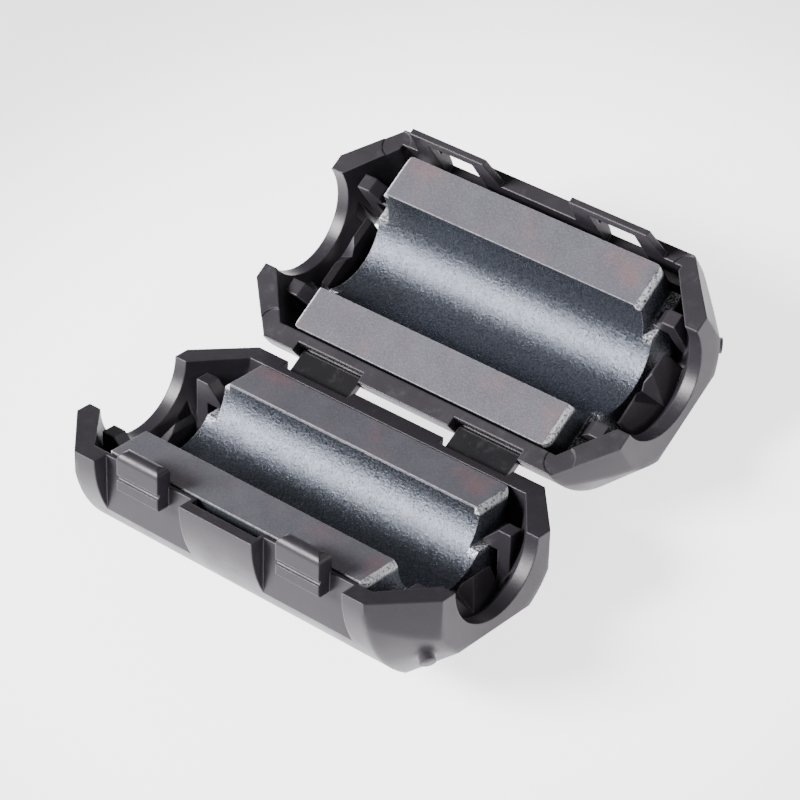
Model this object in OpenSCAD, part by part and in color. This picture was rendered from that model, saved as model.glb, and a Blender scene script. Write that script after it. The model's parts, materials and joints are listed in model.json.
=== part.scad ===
// Clip-on ferrite bead: a hinged two-half nylon case that snaps round a cable,
// with a half-round ferrite core in each half. Drawn lying open on its two barrels.
// Each half is drawn in its own half frame: X along the cable, the cable's axis as
// origin, the open side up (+Z), the latch side at -Y and the hinge side at +Y.

/* [Case] */
// Length of the case along the cable
case_length = 35; // [32:0.5:70]
// Length of the parallel barrel between the tapered ends
barrel_length = 28; // [26:0.5:60]
// Outside diameter of the barrel
case_diameter = 19.5; // [19.2:0.1:30]
// Outside diameter of the flat end of the taper
end_diameter = 13.4; // [12:0.1:16]
// Width of each end across its side flats
end_width = 11.6; // [11:0.1:13]
// Depth of the flat under each end, below the cable's axis
end_flat_depth = 5.5; // [5.2:0.1:6.5]
// Thickness of each end wall
end_wall = 1.1; // [0.8:0.1:2]
// Diameter of the cable opening in each end wall
opening_diameter = 9; // [6:0.1:9.6]
// How far each rim lies below the split plane
rim_drop = 0.1; // [0.05:0.05:0.3]

/* [Ferrite] */
// Length of the ground mating faces
core_face_length = 24.5; // [20:0.5:25]
// Length of the core's crown, which passes under the posts
core_crown_length = 26.2; // [25.2:0.1:26.4]
// Outside diameter of the closed core
core_diameter = 16; // [14:0.1:16.1]
// Diameter of the bore
core_bore = 8.8; // [5:0.1:9.6]
// Depth of the step at each end of the mating faces
core_step_depth = 2.8; // [1.8:0.1:4]
// Corner radius of the mating faces
core_corner_radius = 0.7; // [0.2:0.1:1.5]
// Chamfer across each end of the mating faces
core_chamfer = 0.4; // [0.1:0.05:0.6]
// How far each ground face stays below the split plane
face_gap = 0.03; // [0.02:0.01:0.1]
// Radial clearance between core and case
core_clearance = 0.2; // [0.1:0.05:0.3]
// Gap between the core and its seat pads
seat_gap = 0.05; // [0.03:0.01:0.2]
// Length of each seat pad
pad_length = 2.4; // [1:0.1:5]
// Distance between the two rows of seat pads
pad_spacing = 14; // [8:0.5:30]

/* [Hinge] */
// Width of each hinge strap
strap_width = 5.7; // [3:0.1:8]
// Thickness of each hinge strap
strap_thickness = 0.6; // [0.4:0.05:0.9]
// Distance between the middles of the two straps
strap_spacing = 15.2; // [10:0.1:30]
// Depth of each hinge film below the split plane
film_depth = 1.1; // [0.9:0.05:2]
// Distance of each hinge film inside the barrel's surface
film_inset = 0.45; // [0.4:0.05:0.8]
// Clearance round the round edge of a strap
film_gap = 0.05; // [0.03:0.01:0.15]
// Side clearance of a strap in its notch
strap_side_gap = 0.4; // [0.1:0.05:1]
// Angle of the lower hinge film as the case lies open
lower_film_open = 55.5; // [45:0.5:90]
// Angle of the upper hinge film as the case lies open
upper_film_open = 89; // [75:0.5:90]

/* [Latch] */
// Distance between the middles of the two latches
latch_spacing = 15.3; // [12:0.1:30]
// Width of each catch block
catch_width = 4; // [2.5:0.1:5]
// Depth of the catch's holding edge below the split plane
catch_depth = 1.7; // [1:0.1:2.5]
// Height of the catch's nose above the split plane
catch_height = 1.6; // [1:0.1:2.5]
// Thickness of the catch's nose
catch_thickness = 1.35; // [1:0.05:1.6]
// Radius of the groove under the nose
catch_groove = 0.22; // [0.1:0.01:0.3]
// Depth of the groove's line below the split plane
groove_depth = 0.5; // [0.3:0.05:0.8]
// Distance of the catch's front inside the barrel's surface
catch_inset = 0.1; // [0:0.05:0.3]
// Width of the recess that takes a loop
recess_width = 8.35; // [6:0.05:11]
// Thickness of the latch wall between the recesses
latch_wall = 0.9; // [0.6:0.05:1.2]
// Depth of the recess into the barrel
recess_depth = 1.25; // [0.8:0.05:1.3]
// Height of a loop's bar
bar_height = 0.9; // [0.8:0.05:1.6]
// How much each side of a loop leans in
loop_taper = 0.5; // [0:0.05:1]
// Clearance between a loop and its recess
loop_gap = 0.1; // [0.1:0.05:0.3]
// Thickness of each loop
loop_thickness = 0.5; // [0.4:0.05:0.7]
// Clearance between a catch and its window
window_gap = 0.15; // [0.1:0.05:0.3]

/* [Inside] */
// Width of each core-retaining post, across the cable
post_width = 1.2; // [0.8:0.1:1.6]
// Thickness of each post, along the cable
post_thickness = 1.1; // [0.8:0.1:1.6]
// Depth of the posts' heads below the split plane
post_depth = 1.0; // [0.6:0.1:1.6]
// Reach of each post's nose over the core's step
post_reach = 0.35; // [0.2:0.05:0.5]
// Width of each cable-grip tongue
tongue_width = 6.2; // [4:0.1:7]
// Length of each tongue, along the cable
tongue_thickness = 2.2; // [1.5:0.1:2.3]
// Depth of the tongues' ridge below the split plane
tongue_depth = 3.2; // [2.6:0.1:4]
// Drop of a tongue's sloping face
tongue_lean = 2.4; // [1:0.1:3]
// Width of the V in each tongue
tongue_notch = 2.6; // [1:0.1:4]
// Slit on each side of a tongue
tongue_slit = 1; // [0.4:0.05:1.3]

/* [Moulding marks] */
// Radius of the ejector marks on the upper rim
ejector_radius = 1.2; // [0.6:0.1:1.5]
// Depth of the ejector marks
ejector_depth = 0.08; // [0.04:0.02:0.2]
// Diameter of the gate vestige under one end of each half
gate_diameter = 1.2; // [0.8:0.1:1.6]

/* [Hidden] */
$fn = 96;
side_start = 0.2;                        // how far the side flats run onto the barrel
under_start = 2;                         // how far the flats under the ends run onto it
over = 0.6;                              // overrun past the face that a cut or a join leaves

case_r = case_diameter / 2;
end_r = end_diameter / 2;
opening_r = opening_diameter / 2;
taper_lean = atan2(case_length - barrel_length, case_diameter - end_diameter);
gate_turn = 48;                          // how far round from below the gate lies
gate_place = 0.37;                       // share of the taper from the end to the gate
core_r = core_diameter / 2;
bore_r = core_bore / 2;
cavity_r = core_r + core_clearance;
case_end = case_length / 2;
barrel_end = barrel_length / 2;
inner_end = case_end - end_wall;         // inside of the end wall
crown_end = core_crown_length / 2;
face_end = core_face_length / 2;
inner_taper = crown_end + core_clearance;   // where the inside starts to narrow

post_foot = crown_end + 0.95;            // post face nearest the core
post_y = opening_r - 0.15;               // post face nearest the cable
tongue_foot = crown_end + 0.6;           // where a tongue and its slits start
tongue_tip = 35;                         // tilt of the V, towards the cable's entry

panel_y = case_r - recess_depth;         // flat of the latch recess
recess_wall = 0.3;                       // wall left beside a recess
loop_y = panel_y + loop_gap;             // inner face of the loops
catch_front = case_r - catch_inset;
catch_root = 0.2;                        // how far a catch's foot runs into its wall
loop_width = recess_width - 2 * loop_gap;
window_width = catch_width + 2 * window_gap;
window_top = catch_depth + window_gap;   // edge of the bar that holds the catch
loop_height = window_top + bar_height;
window_depth = catch_height + 0.7;       // how far the window runs below the rim

film_y = case_r - film_inset;
strap_length = 2 * film_depth;           // film to film
notch_y = film_y - strap_thickness / 2 - film_gap;
notch_depth = film_depth + strap_thickness / 2 + film_gap;
notch_width = strap_width + 2 * strap_side_gap;

// Where the upper half's axis lies, seen from the lower half's frame
fold = lower_film_open + upper_film_open;
upper_film = [film_y + strap_length * sin(lower_film_open),
              -film_depth + strap_length * cos(lower_film_open)];
upper_axis = upper_film + [-film_y * cos(fold) - film_depth * sin(fold),
                           film_y * sin(fold) - film_depth * cos(fold)];
axis_gap = norm(upper_axis);             // between the two barrels, lying open
lower_tilt = atan2(upper_axis[1], upper_axis[0]);
upper_tilt = 180 - fold - lower_tilt;

// ---- places -------------------------------------------------------------

module in_lower_half()
    translate([0, -axis_gap / 2, case_r]) rotate([-lower_tilt, 0, 0]) children();

module in_upper_half()
    translate([0, axis_gap / 2, case_r]) rotate([upper_tilt, 0, 0])
        rotate([0, 0, 180]) children();

// From the lower half's frame to a strap standing on its film, along +Z
module on_lower_film()
    translate([0, film_y, -film_depth]) rotate([-lower_film_open, 0, 0]) children();

// A profile drawn in (y, z) and carried along X, centred
module along_x(length)
    rotate([90, 0, 90]) linear_extrude(length, center = true) children();

// A profile drawn in (x, z) and carried along Y, centred
module along_y(length)
    rotate([90, 0, 0]) linear_extrude(length, center = true) children();

module both_ends() for (side = [0, 180]) rotate([0, 0, side]) children();

module both_sides() for (side = [-1, 1]) scale([1, side, 1]) children();

// Everything below a level, as a block to cut with
module below(level)
    translate([-case_length, -case_diameter, level - case_diameter])
        cube([2 * case_length, 2 * case_diameter, case_diameter]);

// ---- case ---------------------------------------------------------------

// Solid of revolution about the cable's axis from (x, radius) points
module turned(points) rotate([0, 90, 0]) rotate([0, 0, 180])
    rotate_extrude() polygon([for (p = points) [p[1], p[0]]]);

// Barrel with its tapered ends
module case_outside() turned([
    [-case_end, 0], [-case_end, end_r], [-barrel_end, case_r],
    [barrel_end, case_r], [case_end, end_r], [case_end, 0]]);

// Room for the core, narrowing to the cable openings
module case_inside() turned([
    [-case_end - over, 0], [-case_end - over, opening_r], [-inner_end, opening_r],
    [-inner_taper, cavity_r], [inner_taper, cavity_r], [inner_end, opening_r],
    [case_end + over, opening_r], [case_end + over, 0]]);

// Block past a sloping flat that ends at a distance from the cable's axis
module end_flat(distance, start) along_y(3 * case_r) polygon([
    [barrel_end - start, -case_r],
    [case_end, -distance],
    [case_end + over, -distance + over],
    [case_end + over, -case_r - over],
    [barrel_end - start, -case_r - over]]);

// Sloping flats under and beside each tapered end
module end_flats() both_ends() {
    end_flat(end_flat_depth, under_start);
    for (side = [-90, 90]) rotate([side, 0, 0]) end_flat(end_width / 2, side_start);
}

// Notches in the hinge side that the straps lie in
module strap_notches() for (side = [-1, 1])
    translate([side * strap_spacing / 2 - notch_width / 2, notch_y, -notch_depth])
        cube([notch_width, case_r, notch_depth + over]);

// Slits through the ends on both sides of each tongue
module tongue_slits() both_ends() both_sides()
    translate([tongue_foot, tongue_width / 2, -case_r])
        cube([tongue_thickness, tongue_slit, case_r - tongue_depth]);

// Cable-grip tongue leaning in over the core, with a V in its ridge
module tongue() difference() {
    along_y(tongue_width) polygon([
        [tongue_foot + 0.3, -case_r],
        [tongue_foot + 0.3, -tongue_depth - 0.4],
        [tongue_foot + 0.7, -tongue_depth],
        [tongue_foot + tongue_thickness, -tongue_depth - tongue_lean],
        [tongue_foot + tongue_thickness, -case_r]]);
    translate([tongue_foot + 0.7, 0, -tongue_depth + 0.01]) rotate([0, tongue_tip, 0])
        along_x(3 * tongue_thickness) polygon([
            [-tongue_notch / 2, 0], [-tongue_notch / 2, 1], [tongue_notch / 2, 1],
            [tongue_notch / 2, 0], [0, -0.9]]);
}

// Post with a sloped nose that holds the core down by its step
module post() translate([0, post_y + post_width / 2, 0]) along_y(post_width) polygon([
    [post_foot, -post_depth],
    [post_foot + post_thickness, -post_depth],
    [post_foot + post_thickness, -cavity_r + 1.5],
    [post_foot, -cavity_r + 1.5],
    [post_foot, -core_step_depth + 0.15],
    [crown_end - post_reach, -core_step_depth + 0.15],
    [crown_end - post_reach, -core_step_depth + 0.55]]);

// Pads on the floor that carry the core
module seat_pads() for (x = [-1, 1] * pad_spacing / 2) translate([x, 0, 0])
    intersection() {
        along_x(pad_length) difference() {
            circle(cavity_r + 0.3);
            circle(core_r + seat_gap);
        }
        along_x(pad_length) polygon([[0, 0], [-case_r, -2 * case_r], [case_r, -2 * case_r]]);
    }

// Vestige of the moulding gate, square to the taper at one end
module gate() rotate([-gate_turn, 0, 0])
    translate([case_end - gate_place * (case_end - barrel_end), 0,
               -end_r - gate_place * (case_r - end_r)])
        rotate([0, 180 - taper_lean, 0]) cylinder(d = gate_diameter, h = 1.2, center = true);

// What the two half cases share, with the gate at one end
module half_shell(gate_end = 1) {
    difference() {
        case_outside();
        case_inside();
        rotate([180, 0, 0]) below(rim_drop);
        end_flats();
        strap_notches();
        tongue_slits();
    }
    difference() {
        intersection() {
            union() {
                both_ends() both_sides() post();
                both_ends() tongue();
                seat_pads();
            }
            case_outside();
        }
        end_flats();
    }
    scale([gate_end, 1, 1]) gate();
}

// Flat recesses in the lower latch side, open to the rim
module latch_recesses() for (side = [-1, 1])
    translate([side * latch_spacing / 2 - recess_width / 2, -2 * case_r, -case_r])
        cube([recess_width, 2 * case_r - panel_y, 2 * case_r]);

// Catch block with a rounded nose, and a groove across its front
module catch() intersection() {
    along_x(catch_width) {
        nose_r = catch_thickness / 2;
        nose_y = -catch_front + nose_r;
        translate([nose_y, catch_height - nose_r]) circle(nose_r, $fn = 48);
        difference() {
            translate([-catch_front, -catch_depth]) {
                square([catch_thickness, catch_depth + catch_height - nose_r]);
                square([catch_front - panel_y + catch_root, catch_depth - rim_drop]);
            }
            translate([-catch_front, -groove_depth]) circle(catch_groove, $fn = 32);
            translate([-catch_front, -catch_depth]) rotate(45)
                square(catch_groove, center = true);
        }
    }
    along_y(4 * case_r) {
        corner = 0.6;
        translate([-catch_width / 2, -case_r])
            square([catch_width, case_r + catch_height - corner]);
        translate([-catch_width / 2 + corner, 0])
            square([catch_width - 2 * corner, catch_height]);
        for (x = [-1, 1] * (catch_width / 2 - corner))
            translate([x, catch_height - corner]) circle(corner, $fn = 32);
    }
}

// Relief inside the lower latch wall, between its recesses
module lower_relief() {
    width = latch_spacing - recess_width - 2 * recess_wall;
    translate([-width / 2, -case_r + latch_wall, -window_depth])
        cube([width, case_r / 2, 2 * window_depth]);
}

module lower_shell() color("#1b1b1d") in_lower_half() {
    difference() {
        half_shell();
        latch_recesses();
        lower_relief();
    }
    for (side = [-1, 1]) translate([side * latch_spacing / 2, 0, 0]) catch();
}

// Loop that drops into a recess, with its bar under the catch
module loop() intersection() {
    along_y(4 * case_r) difference() {
        polygon([
            [-loop_width / 2, -rim_drop - over], [loop_width / 2, -rim_drop - over],
            [loop_width / 2, -rim_drop], [loop_width / 2 - loop_taper, loop_height],
            [-loop_width / 2 + loop_taper, loop_height], [-loop_width / 2, -rim_drop]]);
        translate([-window_width / 2, -case_r])
            square([window_width, case_r + window_top]);
    }
    along_x(loop_width + 1) translate([-loop_y - loop_thickness, -case_r])
        square([loop_thickness, 2 * case_r]);
}

// Window behind each loop, right through the latch wall
module loop_windows() for (side = [-1, 1])
    translate([side * latch_spacing / 2 - window_width / 2, -2 * case_r, -window_depth])
        cube([window_width, 1.2 * case_r, 2 * window_depth]);

// Relief inside the upper latch wall that makes its rim thin
module upper_relief()
    translate([-inner_taper, -loop_y, -window_depth])
        cube([2 * inner_taper, case_r / 2, 2 * window_depth]);

// Shallow round marks of the ejector pins on the rim's corners
module ejector_marks() both_ends() both_sides()
    translate([barrel_end - 0.2, case_r - 1.3, -rim_drop - ejector_depth])
        cylinder(r = ejector_radius, h = 2, $fn = 48);

module upper_shell() color("#1b1b1d") in_upper_half() {
    difference() {
        half_shell(gate_end = -1);
        loop_windows();
        upper_relief();
        ejector_marks();
    }
    for (side = [-1, 1]) translate([side * latch_spacing / 2, 0, 0]) loop();
}

// ---- hinge --------------------------------------------------------------

// Strap with a round edge along each film
module strap() along_x(strap_width) {
    translate([0, 0]) circle(strap_thickness / 2, $fn = 32);
    translate([0, strap_length]) circle(strap_thickness / 2, $fn = 32);
    translate([-strap_thickness / 2, 0]) square([strap_thickness, strap_length]);
}

module hinge_strap_left() color("#1b1b1d") in_lower_half() on_lower_film()
    translate([-strap_spacing / 2, 0, 0]) strap();

module hinge_strap_right() color("#1b1b1d") in_lower_half() on_lower_film()
    translate([strap_spacing / 2, 0, 0]) strap();

// ---- ferrite ------------------------------------------------------------

// Half-round core: a short block with the ground faces on a longer crown
module half_core() difference() {
    union() {
        intersection() {
            along_x(core_face_length) circle(core_r);
            translate([0, 0, -core_step_depth - over])
                linear_extrude(core_step_depth + over - face_gap) face_outline();
        }
        difference() {
            along_x(core_crown_length) circle(core_r);
            rotate([180, 0, 0]) below(core_step_depth);
        }
    }
    along_x(2 * core_crown_length) circle(bore_r);
    both_ends() translate([face_end - core_chamfer, 0, -face_gap]) rotate([0, 45, 0])
        translate([0, -case_r, 0]) cube([case_r, 2 * case_r, case_r]);
}

// Outline of the ground faces seen from above, with rounded corners
module face_outline() {
    straight_x = core_face_length - 2 * core_corner_radius;
    straight_y = core_diameter - 2 * core_corner_radius;
    square([core_face_length, straight_y], center = true);
    square([straight_x, core_diameter], center = true);
    for (x = [-1, 1] * straight_x / 2, y = [-1, 1] * straight_y / 2)
        translate([x, y]) circle(core_corner_radius, $fn = 48);
}

module lower_core() color("#5b5f68") in_lower_half() half_core();

module upper_core() color("#5b5f68") in_upper_half() half_core();

lower_shell();
lower_core();
hinge_strap_left();
hinge_strap_right();
upper_shell();
upper_core();
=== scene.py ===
"""Looks of a clip-on ferrite bead that lies open: black nylon case, sintered
ferrite cores, hinge films, and a soft studio round them. Laid out as an add-on.

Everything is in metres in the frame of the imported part. The two half frames used
by the patterns have the cable's axis as origin and the open side along +Z."""

import json
import math

import bpy
import numpy as np
from bpy.props import FloatProperty, FloatVectorProperty, PointerProperty
from mathutils import Matrix, Vector


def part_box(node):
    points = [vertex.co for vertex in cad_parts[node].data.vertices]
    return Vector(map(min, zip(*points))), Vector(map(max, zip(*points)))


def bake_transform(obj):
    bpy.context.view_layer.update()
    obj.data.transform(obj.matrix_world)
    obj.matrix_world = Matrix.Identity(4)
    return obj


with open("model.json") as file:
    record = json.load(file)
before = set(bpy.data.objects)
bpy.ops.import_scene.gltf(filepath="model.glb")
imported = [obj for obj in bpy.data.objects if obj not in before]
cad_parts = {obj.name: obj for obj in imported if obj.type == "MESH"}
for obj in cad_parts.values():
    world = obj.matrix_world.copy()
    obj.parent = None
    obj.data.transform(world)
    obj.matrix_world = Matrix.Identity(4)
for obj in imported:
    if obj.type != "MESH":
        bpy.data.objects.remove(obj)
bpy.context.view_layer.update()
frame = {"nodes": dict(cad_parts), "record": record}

bl_info = {
    "name": "Clip-on ferrite bead",
    "version": (1, 0, 0),
    "blender": (4, 5, 0),
    "location": "View3D > Sidebar > Ferrite bead",
    "description": "Finishes, hinge films and studio of an open clip-on ferrite bead",
    "category": "Object",
}

MM = 0.001

# The cable's axis of each half, and the hinge films, as the record places them
MOUNTS = {m["name"]: m["pos_m"] for m in frame["record"]["mounts"]}
JOINTS = {j["name"]: j["pos_m"] for j in frame["record"]["behaviour"]["joints"]}
LOWER_AXIS = Vector((0, *MOUNTS["lower_right_port"][1:]))
UPPER_AXIS = Vector((0, *MOUNTS["upper_right_port"][1:]))
LOWER_FILM = Vector(JOINTS["lower_film"])
UPPER_FILM = Vector(JOINTS["upper_film"])

FILM_OUT = 9.3 * MM  # from the cable's axis to a film, across
FILM_DOWN = 1.1 * MM  # from the split plane down to a film
FILM_WEB = 0.35 * MM  # free length of a film, from its axis to the wall
FILM_SIDES = 24  # points round a film's section

# Where the tapered ends are softened, in the half frame, in millimetres
TAPER_ALONG = (12.4, 13.4)  # from the middle, along the cable
TAPER_REACH = (5.6, 6.8)  # from the cable's axis, outside the opening
TAPER_BELOW = (-0.5, -1.3)  # under the split plane

# Sizes of the patterns, in millimetres
SKIN_SIZE = 0.16
FLOW_SIZE = 3.2
SCUFF_SIZE = 1.1
GRIT_SIZE = 0.13
GRAIN_SIZE = 0.19
CLOUD_SIZE = 2.6
BLUSH_SIZE = 4.5
DUST_SIZE = 0.22
CHIP_SIZE = 0.24

NYLON_IOR = 1.53
SMOOTH_GLOSS = (0.16, 0.22)  # roughness of the polished straps
SATIN_GLOSS = (0.34, 0.42)  # roughness of the spark-eroded skin

FLOOR_HALF = 1.2  # half of the floor's side
LIGHT_AIM = (0, 0, 0.006)  # where every softbox points
KEY_PLACE = Vector((-0.54, -0.55, 0.62)) * 0.60
FILL_POWER = 0.6  # of the rear and right softboxes
CAMERA_AIM = Vector((0.38, -0.17, 8.0)) * MM
SENSOR_WIDTH = 36


def half_tilt(axis, film, side):
    """Turn about X from the half frame to the part's frame: the film's bearing
    from the cable's axis, less the bearing it has in the half frame."""
    seen = math.atan2(film.z - axis.z, film.y - axis.y)
    own = math.atan2(-FILM_DOWN, side * FILM_OUT)
    return math.remainder(seen - own, math.tau)


LOWER_TILT = half_tilt(LOWER_AXIS, LOWER_FILM, 1)
UPPER_TILT = half_tilt(UPPER_AXIS, UPPER_FILM, -1)
HALVES = {"lower": (LOWER_AXIS, LOWER_TILT), "upper": (UPPER_AXIS, UPPER_TILT)}


def linear(code):
    """sRGB hex code to linear red, green and blue."""
    parts = [int(code[i : i + 2], 16) / 255 for i in (1, 3, 5)]
    return tuple(
        c / 12.92 if c < 0.04045 else ((c + 0.055) / 1.055) ** 2.4 for c in parts)


# ---- settings -------------------------------------------------------------


class CaseSettings(bpy.types.PropertyGroup):
    """Moulded nylon case and its hinge films."""

    nylon: FloatVectorProperty(
        name="Nylon", description="Colour of the moulded nylon",
        subtype="COLOR", default=linear("#29262b"))
    nylon_worn: FloatVectorProperty(
        name="Nylon, scuffed", description="Colour where the skin is dulled",
        subtype="COLOR", default=linear("#353238"))
    polished: FloatVectorProperty(
        name="Nylon, polished", description="Colour of the smooth hinge straps",
        subtype="COLOR", default=linear("#1a191c"))
    edge_radius: FloatProperty(
        name="Edge radius", description="Rounding of the moulded edges",
        default=0.16 * MM, unit="LENGTH")
    end_radius: FloatProperty(
        name="End radius", description="Rounding between the facets of the ends",
        default=0.9 * MM, unit="LENGTH")
    film_thickness: FloatProperty(
        name="Film thickness", description="Thickness of the hinge films",
        default=0.2 * MM, unit="LENGTH")
    film_reach: FloatProperty(
        name="Film reach", description="How far a film runs into the shell's wall",
        default=0.25 * MM, unit="LENGTH")


class FerriteSettings(bpy.types.PropertyGroup):
    """Sintered ferrite: ground faces, as-fired bore and rough ends."""

    ground: FloatVectorProperty(
        name="Ground face", description="Colour of the ground mating faces",
        subtype="COLOR", default=linear("#55545c"))
    rust: FloatVectorProperty(
        name="Oxide blush", description="Reddish tinge left by firing",
        subtype="COLOR", default=linear("#6d5254"))
    fired: FloatVectorProperty(
        name="Fired skin", description="Colour of the as-fired bore",
        subtype="COLOR", default=linear("#53565f"))
    # this near-white colour paints the chipped edges and also the painted highlights on
    # the end chamfers and the upper end faces
    chip_and_highlight: FloatVectorProperty(
        name="Chipped edge", description="Colour of the freshly broken edges",
        subtype="COLOR", default=linear("#eaeaf0"))
    bore_radius: FloatProperty(
        name="Bore radius", description="Radius of the half-round bore",
        default=4.4 * MM, unit="LENGTH")
    face_depth: FloatProperty(
        name="Face depth", description="Depth at which the ground faces fade out",
        default=0.12 * MM, unit="LENGTH")
    face_end: FloatProperty(
        name="Face end", description="From the middle to the end of a ground face",
        default=12.25 * MM, unit="LENGTH")
    edge_radius: FloatProperty(
        name="Edge radius", description="Rounding of the ground edges",
        default=0.12 * MM, unit="LENGTH")


class StageSettings(bpy.types.PropertyGroup):
    """Floor, lights and camera."""

    floor: FloatVectorProperty(
        name="Floor", description="Colour of the floor",
        subtype="COLOR", default=linear("#f4f4f6"))
    # painted glow: the floor's own emission, with no lamp behind it
    painted_floor_glow: FloatProperty(
        name="Floor glow", description="Light that comes through the acrylic floor",
        default=2.4)
    # painted pool of light: the floor glows in full within this radius round the part
    pool: FloatProperty(
        name="Lit pool", description="Radius round the part that glows in full",
        default=30 * MM, unit="LENGTH")
    air: FloatProperty(
        name="Room light", description="Strength of the even light of the room",
        default=0.20)
    key_power: FloatProperty(
        name="Key power", description="Power of the key softbox",
        default=11.5, unit="POWER")
    distance: FloatProperty(
        name="Camera distance", description="From the camera to the part's middle",
        default=264.16 * MM, unit="LENGTH")
    azimuth: FloatProperty(
        name="Azimuth", description="Camera's bearing, from looking along +Y",
        default=math.radians(51.7), subtype="ANGLE")
    elevation: FloatProperty(
        name="Elevation", description="Camera's height above the horizon",
        default=math.radians(46.25), subtype="ANGLE")
    roll: FloatProperty(
        name="Roll", description="Camera's turn about its own line of sight",
        default=math.radians(-16.5), subtype="ANGLE")
    lens: FloatProperty(
        name="Focal length", description="Focal length in millimetres",
        default=163.55)


# ---- shader building ------------------------------------------------------


class Shader:
    """A material under construction."""

    def __init__(self, name):
        self.material = bpy.data.materials.new(name)
        self.material.use_nodes = True
        self.tree = self.material.node_tree
        self.tree.nodes.clear()
        self.surface = self.add("ShaderNodeOutputMaterial")

    def add(self, kind, inputs=None, **settings):
        """Adds a node, sets its settings, and sets or links its inputs."""
        node = self.tree.nodes.new(kind)
        for key, value in settings.items():
            setattr(node, key, value)
        for key, value in (inputs or {}).items():
            if isinstance(value, bpy.types.NodeSocket):
                self.tree.links.new(value, node.inputs[key])
            else:
                node.inputs[key].default_value = value
        return node


def in_half_frame(shader, half):
    """Object coordinates turned and centred into a half frame, in millimetres."""
    axis, tilt = HALVES[half]
    coords = shader.add("ShaderNodeTexCoord").outputs["Object"]
    centred = shader.add(
        "ShaderNodeVectorMath", {0: coords, 1: tuple(axis)}, operation="SUBTRACT")
    turned = shader.add(
        "ShaderNodeVectorRotate",
        {"Vector": centred.outputs[0], "Angle": -tilt, "Axis": (1, 0, 0)},
        rotation_type="AXIS_ANGLE")
    return shader.add(
        "ShaderNodeVectorMath", {0: turned.outputs[0], "Scale": 1 / MM},
        operation="SCALE").outputs[0]


def noise(shader, coords, size_mm, detail=3.0, rough=0.55):
    """Noise whose features are about size_mm across, on coordinates in mm."""
    return shader.add(
        "ShaderNodeTexNoise",
        {"Vector": coords, "Scale": 1 / size_mm, "Detail": detail, "Roughness": rough},
    ).outputs["Fac"]


def span(shader, value, low, high, to_low=0.0, to_high=1.0):
    """Maps low..high of a value smoothly on to to_low..to_high."""
    return shader.add(
        "ShaderNodeMapRange",
        {"Value": value, "From Min": low, "From Max": high,
         "To Min": to_low, "To Max": to_high},
        interpolation_type="SMOOTHSTEP").outputs[0]


def times(shader, a, b):
    """Product of two values."""
    return shader.add("ShaderNodeMath", {0: a, 1: b}, operation="MULTIPLY").outputs[0]


def mix(shader, factor, a, b):
    """Colour from a to b by a factor."""
    node = shader.add("ShaderNodeMix", data_type="RGBA")
    sockets = [s for s in node.inputs if s.type == "RGBA"]
    for socket, value in ((node.inputs[0], factor), (sockets[0], a), (sockets[1], b)):
        if isinstance(value, bpy.types.NodeSocket):
            shader.tree.links.new(value, socket)
        else:
            socket.default_value = (*value, 1.0) if socket.type == "RGBA" else value
    return [s for s in node.outputs if s.type == "RGBA"][0]


def edge_mask(shader, rounded, low, high):
    """0 on a flat, 1 where the rounded normal leans away from the true one."""
    true = shader.add("ShaderNodeNewGeometry").outputs["True Normal"]
    dot = shader.add(
        "ShaderNodeVectorMath", {0: rounded, 1: true}, operation="DOT_PRODUCT")
    return span(shader, dot.outputs["Value"], high, low)


def soft_ends(shader, coords, rounded):
    """Normals that melt the facets of the tapered ends together, below the rim."""
    case = bpy.context.scene.bead_case
    wide = shader.add("ShaderNodeBevel", {"Radius": case.end_radius}, samples=8)
    place = shader.add("ShaderNodeSeparateXYZ", {0: coords})
    along = shader.add("ShaderNodeMath", {0: place.outputs[0]}, operation="ABSOLUTE")
    reach = shader.add("ShaderNodeVectorMath", {
        0: coords, 1: (0.0, 1.0, 1.0)}, operation="MULTIPLY").outputs[0]
    reach = shader.add("ShaderNodeVectorMath", {0: reach}, operation="LENGTH")
    ends = times(
        shader, span(shader, along.outputs[0], *TAPER_ALONG),
        span(shader, reach.outputs["Value"], *TAPER_REACH))
    ends = times(shader, ends, span(shader, place.outputs[2], *TAPER_BELOW))
    blend = shader.add(
        "ShaderNodeMix", {0: ends, 4: rounded, 5: wide.outputs[0]}, data_type="VECTOR")
    return blend.outputs[1]


# ---- materials ------------------------------------------------------------


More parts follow.
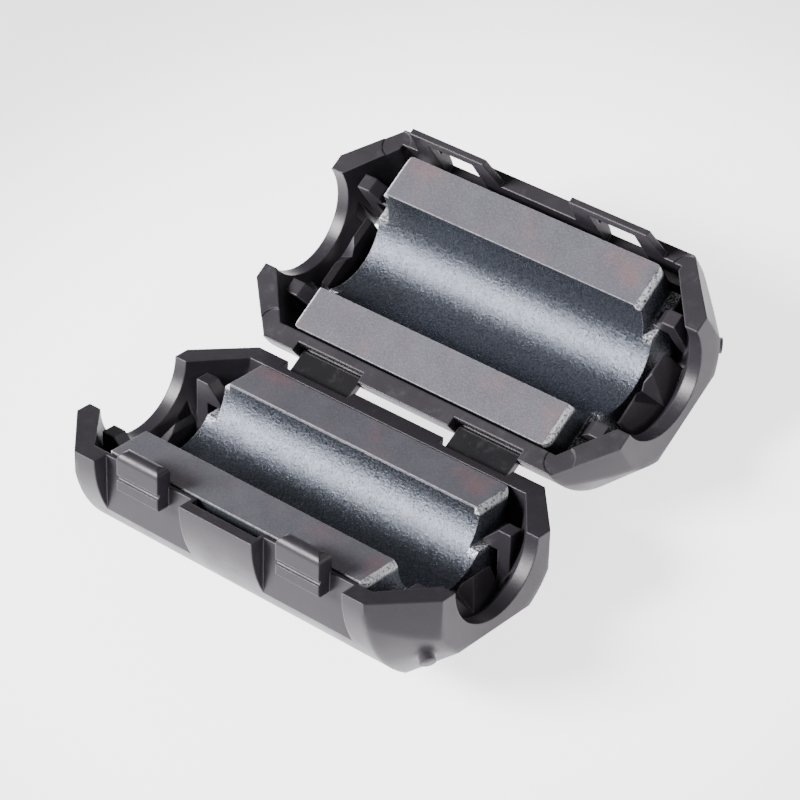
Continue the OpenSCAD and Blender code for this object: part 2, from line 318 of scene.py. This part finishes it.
def moulded_nylon(half, smooth=False):
    """Injection-moulded black nylon 66: a fine satin skin from the spark-eroded
    tool, which shows a soft broad gloss, and lighter rubbed edges. The straps come
    smooth from a polished part of the tool, so they look darker and sharper."""
    case = bpy.context.scene.bead_case
    shader = Shader(("polished" if smooth else "moulded") + " black nylon, " + half)
    coords = in_half_frame(shader, half)
    rounded = shader.add(
        "ShaderNodeBevel", {"Radius": case.edge_radius}, samples=6).outputs[0]
    if not smooth:
        rounded = soft_ends(shader, coords, rounded)
    # the tool skin is really about 0.05 mm, and is drawn coarser so that it shows
    skin = noise(shader, coords, SKIN_SIZE, 2.0)
    flow = noise(shader, coords, FLOW_SIZE, 2.0)
    scuff = span(shader, noise(shader, coords, SCUFF_SIZE, 5.0, 0.65), 0.52, 0.74)
    rubbed = edge_mask(shader, rounded, 0.80, 0.99)
    fresh = tuple(case.polished if smooth else case.nylon)
    colour = mix(shader, times(shader, scuff, 0.5), fresh, tuple(case.nylon_worn))
    colour = mix(shader, times(shader, rubbed, 0.55), colour, linear("#57555b"))
    height = shader.add(
        "ShaderNodeMath", {0: times(shader, flow, 2.2), 1: skin},
        operation="ADD").outputs[0]
    bump = shader.add(
        "ShaderNodeBump",
        {"Strength": 0.55, "Distance": 0.012 * MM, "Height": height, "Normal": rounded})
    skin_gloss = shader.add(
        "ShaderNodeMath",
        {0: span(shader, flow, 0.3, 0.7, *(SMOOTH_GLOSS if smooth else SATIN_GLOSS)),
         1: times(shader, scuff, 0.08)},
        operation="ADD")
    body = shader.add("ShaderNodeBsdfPrincipled", {
        "Base Color": colour, "Roughness": skin_gloss.outputs[0], "IOR": NYLON_IOR,
        "Specular IOR Level": 0.5 if smooth else 0.30,
        "Specular Tint": (*linear("#fffafd"), 1.0),
        "Normal": bump.outputs[0]})
    shader.tree.links.new(body.outputs[0], shader.surface.inputs["Surface"])
    return shader.material


def sintered_ferrite(half):
    """Sintered nickel-zinc ferrite: mating faces ground matt with a faint oxide
    blush, an as-fired grainy bore with a metallic glint, painted shade on the outer
    sides where they sit in the case, chipped edges, and painted highlights on the end
    chamfers and the upper end faces."""
    core = bpy.context.scene.bead_ferrite
    bore, end, depth = (size / MM for size in (
        core.bore_radius, core.face_end, core.face_depth))
    shader = Shader("sintered ferrite, " + half)
    coords = in_half_frame(shader, half)
    rounded = shader.add(
        "ShaderNodeBevel", {"Radius": core.edge_radius}, samples=6).outputs[0]
    place = shader.add("ShaderNodeSeparateXYZ", {0: coords})
    across, height = place.outputs[1], place.outputs[2]
    radius = shader.add(
        "ShaderNodeVectorMath",
        {0: shader.add("ShaderNodeCombineXYZ", {1: across, 2: height}).outputs[0]},
        operation="LENGTH").outputs["Value"]
    is_ground = span(shader, height, -2 * depth, -depth)
    is_bore = span(shader, radius, bore + 0.10, bore + 0.04)
    is_bore = times(shader, is_bore, span(shader, height, -0.05, -0.30))

    # grit and grain are really finer, and are drawn coarse so that they show
    grit = noise(shader, coords, GRIT_SIZE, 2.0, 0.7)
    grain = noise(shader, coords, GRAIN_SIZE, 3.0, 0.7)
    cloud = noise(shader, coords, CLOUD_SIZE, 3.0)
    blush = span(shader, noise(shader, coords, BLUSH_SIZE, 2.0), 0.46, 0.74)
    dust = span(shader, noise(shader, coords, DUST_SIZE, 1.0), 0.70, 0.80)

    face = mix(shader, times(shader, blush, 0.7), tuple(core.ground), tuple(core.rust))
    face = mix(
        shader, span(shader, cloud, 0.35, 0.65, 0.0, 0.45), face, linear("#47464d"))
    face = mix(
        shader, span(shader, grit, 0.42, 0.72, 0.0, 0.35), face, linear("#7c7b83"))
    fired = mix(
        shader, span(shader, grain, 0.38, 0.60), linear("#40434b"), tuple(core.fired))
    fired = mix(shader, times(shader, dust, 0.35), fired, linear("#9b9ca4"))
    # painted shade: the core's outer side, away from the bore, is darkened where it
    # sits in the case
    outside_shade = span(shader, radius, bore + 2.4, bore + 3.0)
    fired = mix(shader, times(shader, outside_shade, 0.75), fired, linear("#202226"))
    colour = mix(shader, is_ground, fired, face)
    along = shader.add("ShaderNodeMath", {0: place.outputs[0]}, operation="ABSOLUTE")
    # painted highlight: a bright band along the chamfer at each end of the ground faces
    chamfer_highlight = times(
        shader, span(shader, along.outputs[0], end - 0.50, end - 0.38),
        span(shader, height, -0.75, -0.45))
    chamfer_highlight = times(shader, chamfer_highlight, span(shader, height, -0.04, -0.08))
    worn = times(shader, edge_mask(shader, rounded, 0.86, 0.995), 0.45)
    chips_and_chamfer_highlight = shader.add(
        "ShaderNodeMath", {0: worn, 1: chamfer_highlight}, operation="MAXIMUM").outputs[0]
    # painted highlight, broken up by the grit, on the upper part of each end face
    end_face_highlight = times(
        shader, span(shader, along.outputs[0], end, end + 0.08),
        span(shader, height, -3.3, -2.9))
    end_face_highlight = times(shader, end_face_highlight, span(shader, grit, 0.46, 0.60))
    chips = noise(shader, coords, CHIP_SIZE, 3.0, 0.7)
    chips_and_highlights = times(shader, chips_and_chamfer_highlight, span(shader, chips, 0.36, 0.52))
    chips_and_highlights = shader.add(
        "ShaderNodeMath", {0: chips_and_highlights, 1: times(shader, end_face_highlight, 0.7)},
        operation="MAXIMUM").outputs[0]
    # chips on the edges, and the painted highlights on the chamfers and end faces, take
    # the near-white colour
    colour = mix(shader, times(shader, chips_and_highlights, 0.9), colour, tuple(core.chip_and_highlight))

    rough = shader.add("ShaderNodeMix", {
        0: is_ground, 2: span(shader, grain, 0.3, 0.7, 0.22, 0.34),
        3: span(shader, grit, 0.3, 0.7, 0.50, 0.60)}).outputs[0]
    metal = shader.add("ShaderNodeMix", {0: is_bore, 2: 0.15, 3: 0.75}).outputs[0]
    metal = times(shader, metal, span(shader, chips_and_highlights, 0.0, 1.0, 1.0, 0.3))
    rise = shader.add("ShaderNodeMix", {0: is_ground, 2: 1.0, 3: 0.22}).outputs[0]
    relief = shader.add(
        "ShaderNodeMath", {0: times(shader, grain, 1.6), 1: grit}, operation="ADD")
    bump = shader.add("ShaderNodeBump", {
        "Strength": 1.0, "Distance": 0.030 * MM, "Normal": rounded,
        "Height": times(shader, relief.outputs[0], rise)})
    body = shader.add("ShaderNodeBsdfPrincipled", {
        "Base Color": colour, "Metallic": metal, "Roughness": rough,
        "Normal": bump.outputs[0]})
    shader.tree.links.new(body.outputs[0], shader.surface.inputs["Surface"])
    return shader.material


def paint(node, material):
    """Gives a CAD node one material."""
    slots = frame["nodes"][node].data.materials
    slots.clear()
    slots.append(material)


# ---- hinge films ----------------------------------------------------------


def film_surface(name, start, end, thickness, width, middle_x):
    """Closed thin web: a flat oval in the (y, z) plane, carried across width along
    X and closed by its two end rows. Round the oval, with u from 0 to 2 pi:
    a = length / 2 * sgn(cos u) * |cos u| ** 0.4 along the line from start to end,
    b = thickness / 2 * sgn(sin u) * |sin u| ** 0.8 at right angles to it."""
    along = (end - start).normalized()
    up = Vector((0, -along.z, along.y))
    centre = (start + end) / 2
    u = np.linspace(0, math.tau, FILM_SIDES, endpoint=False)
    x = middle_x + np.array([-0.5, 0.5]) * width
    a = (end - start).length / 2 * np.sign(np.cos(u)) * np.abs(np.cos(u)) ** 0.4
    b = thickness / 2 * np.sign(np.sin(u)) * np.abs(np.sin(u)) ** 0.8
    y = centre.y + a * along.y + b * up.y
    z = centre.z + a * along.z + b * up.z
    points = np.stack(np.broadcast_arrays(x[:, None], y[None, :], z[None, :]), -1)
    i = np.arange(FILM_SIDES)
    j = (i + 1) % FILM_SIDES
    sides = np.stack([i, j, j + FILM_SIDES, i + FILM_SIDES], 1).tolist()
    mesh = bpy.data.meshes.new(name)
    mesh.from_pydata(points.reshape(-1, 3).tolist(), [],
                     sides + [i[::-1].tolist(), (i + FILM_SIDES).tolist()])
    mesh.update()
    web = bpy.data.objects.new(name, mesh)
    bpy.context.scene.collection.objects.link(web)
    return web


class BEAD_OT_case(bpy.types.Operator):
    """Gives the shells and straps their moulded nylon"""

    bl_idname = "bead.case"
    bl_label = "Case"

    def execute(self, context):
        lower = moulded_nylon("lower")
        upper = moulded_nylon("upper")
        straps = moulded_nylon("lower", smooth=True)
        paint("lower_shell", lower)
        paint("upper_shell", upper)
        paint("hinge_strap_left", straps)
        paint("hinge_strap_right", straps)
        return {"FINISHED"}


class BEAD_OT_cores(bpy.types.Operator):
    """Gives both half cores their sintered ferrite"""

    bl_idname = "bead.cores"
    bl_label = "Cores"

    def execute(self, context):
        paint("lower_core", sintered_ferrite("lower"))
        paint("upper_core", sintered_ferrite("upper"))
        return {"FINISHED"}


class BEAD_OT_films(bpy.types.Operator):
    """Adds the thin films that join each strap to both shells"""

    bl_idname = "bead.films"
    bl_label = "Hinge films"

    def execute(self, context):
        case = context.scene.bead_case
        material = bpy.data.materials["polished black nylon, lower"]
        for side in ("left", "right"):
            low, high = (Vector(c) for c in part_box("hinge_strap_" + side))
            width = high.x - low.x
            middle = (low.x + high.x) / 2
            for half, film, inward in (
                ("lower", LOWER_FILM, -1), ("upper", UPPER_FILM, 1)):
                tilt = HALVES[half][1]
                wall = Vector((0, inward * math.cos(tilt), inward * math.sin(tilt)))
                start = film + wall * (FILM_WEB + case.film_reach)
                web = film_surface(
                    f"film_{half}_{side}", start, film, case.film_thickness,
                    width, middle)
                web.data.materials.append(material)
                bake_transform(web)
        return {"FINISHED"}


# ---- stage ----------------------------------------------------------------


def softbox(name, place, aim, size, power):
    """Rectangular area light at a place, facing a point."""
    lamp = bpy.data.lights.new(name, "AREA")
    lamp.shape = "RECTANGLE"
    lamp.size, lamp.size_y = size
    lamp.energy = power
    lit = bpy.data.objects.new(name, lamp)
    lit.location = place
    sight = Vector(aim) - Vector(place)
    lit.rotation_euler = sight.to_track_quat("-Z", "Y").to_euler()
    bpy.context.scene.collection.objects.link(lit)


class BEAD_OT_stage(bpy.types.Operator):
    """Adds the floor, the soft lights and the camera"""

    bl_idname = "bead.stage"
    bl_label = "Stage"

    def execute(self, context):
        stage = context.scene.bead_stage
        mesh = bpy.data.meshes.new("floor")
        corners = ((-1, -1), (1, -1), (1, 1), (-1, 1))
        mesh.from_pydata(
            [(x * FLOOR_HALF, y * FLOOR_HALF, 0) for x, y in corners],
            [], [(0, 1, 2, 3)])
        floor = bpy.data.objects.new("floor", mesh)
        context.scene.collection.objects.link(floor)
        shader = Shader("white floor with painted glow")
        spread = shader.add("ShaderNodeVectorMath", {
            0: shader.add("ShaderNodeTexCoord").outputs["Object"]}, operation="LENGTH")
        # painted glow: the floor's emission is full in a pool round the part and falls
        # to a fifth of it further out
        glow = span(shader, spread.outputs["Value"], stage.pool, 2.2 * stage.pool,
                    stage.painted_floor_glow, 0.2 * stage.painted_floor_glow)
        paper = shader.add("ShaderNodeBsdfPrincipled", {
            "Base Color": (*stage.floor, 1.0), "Roughness": 0.9,
            "Emission Color": (*linear("#fdfafe"), 1.0), "Emission Strength": glow})
        shader.tree.links.new(paper.outputs[0], shader.surface.inputs["Surface"])
        mesh.materials.append(shader.material)

        # the key stands where its glint runs along both bores
        softbox("key softbox", KEY_PLACE, LIGHT_AIM, (0.26, 0.20), stage.key_power)
        softbox("rear softbox", (0.25, 0.50, 0.22), LIGHT_AIM, (0.30, 0.12), FILL_POWER)
        softbox(
            "right softbox", (0.52, 0.02, 0.26), LIGHT_AIM, (0.30, 0.16), FILL_POWER)

        world = bpy.data.worlds.new("studio air")
        world.use_nodes = True
        world.node_tree.nodes["Background"].inputs["Color"].default_value = (1, 1, 1, 1)
        world.node_tree.nodes["Background"].inputs["Strength"].default_value = stage.air
        context.scene.world = world

        back = Vector((
            math.sin(stage.azimuth) * math.cos(stage.elevation),
            -math.cos(stage.azimuth) * math.cos(stage.elevation),
            math.sin(stage.elevation)))
        level = Vector((0, 0, 1)).cross(back).normalized()
        rise = back.cross(level)
        right = math.cos(stage.roll) * level + math.sin(stage.roll) * rise
        up = back.cross(right)
        lens = bpy.data.cameras.new("camera")
        lens.sensor_width = SENSOR_WIDTH
        lens.lens = stage.lens
        lens.clip_start = 0.01
        camera = bpy.data.objects.new("camera", lens)
        turn = Matrix((right, up, back)).transposed().to_4x4()
        camera.matrix_world = Matrix.Translation(
            CAMERA_AIM + back * stage.distance) @ turn
        context.scene.collection.objects.link(camera)
        context.scene.camera = camera
        return {"FINISHED"}


class BEAD_PT_panel(bpy.types.Panel):
    """Lists the steps of the build"""

    bl_idname = "BEAD_PT_panel"
    bl_label = "Ferrite bead"
    bl_space_type = "VIEW_3D"
    bl_region_type = "UI"
    bl_category = "Ferrite bead"

    def draw(self, context):
        for step in STEPS:
            self.layout.operator(step.bl_idname)


STEPS = (BEAD_OT_case, BEAD_OT_cores, BEAD_OT_films, BEAD_OT_stage)
SETTINGS = {"bead_case": CaseSettings, "bead_ferrite": FerriteSettings,
            "bead_stage": StageSettings}


def register():
    for group in SETTINGS.values():
        bpy.utils.register_class(group)
    for name, group in SETTINGS.items():
        setattr(bpy.types.Scene, name, PointerProperty(type=group))
    for cls in (*STEPS, BEAD_PT_panel):
        bpy.utils.register_class(cls)


def unregister():
    for cls in (BEAD_PT_panel, *reversed(STEPS)):
        bpy.utils.unregister_class(cls)
    for name, group in SETTINGS.items():
        delattr(bpy.types.Scene, name)
        bpy.utils.unregister_class(group)


def main():
    register()
    bpy.ops.bead.case()
    bpy.ops.bead.cores()
    bpy.ops.bead.films()
    bpy.ops.bead.stage()


if __name__ == "__main__":
    main()
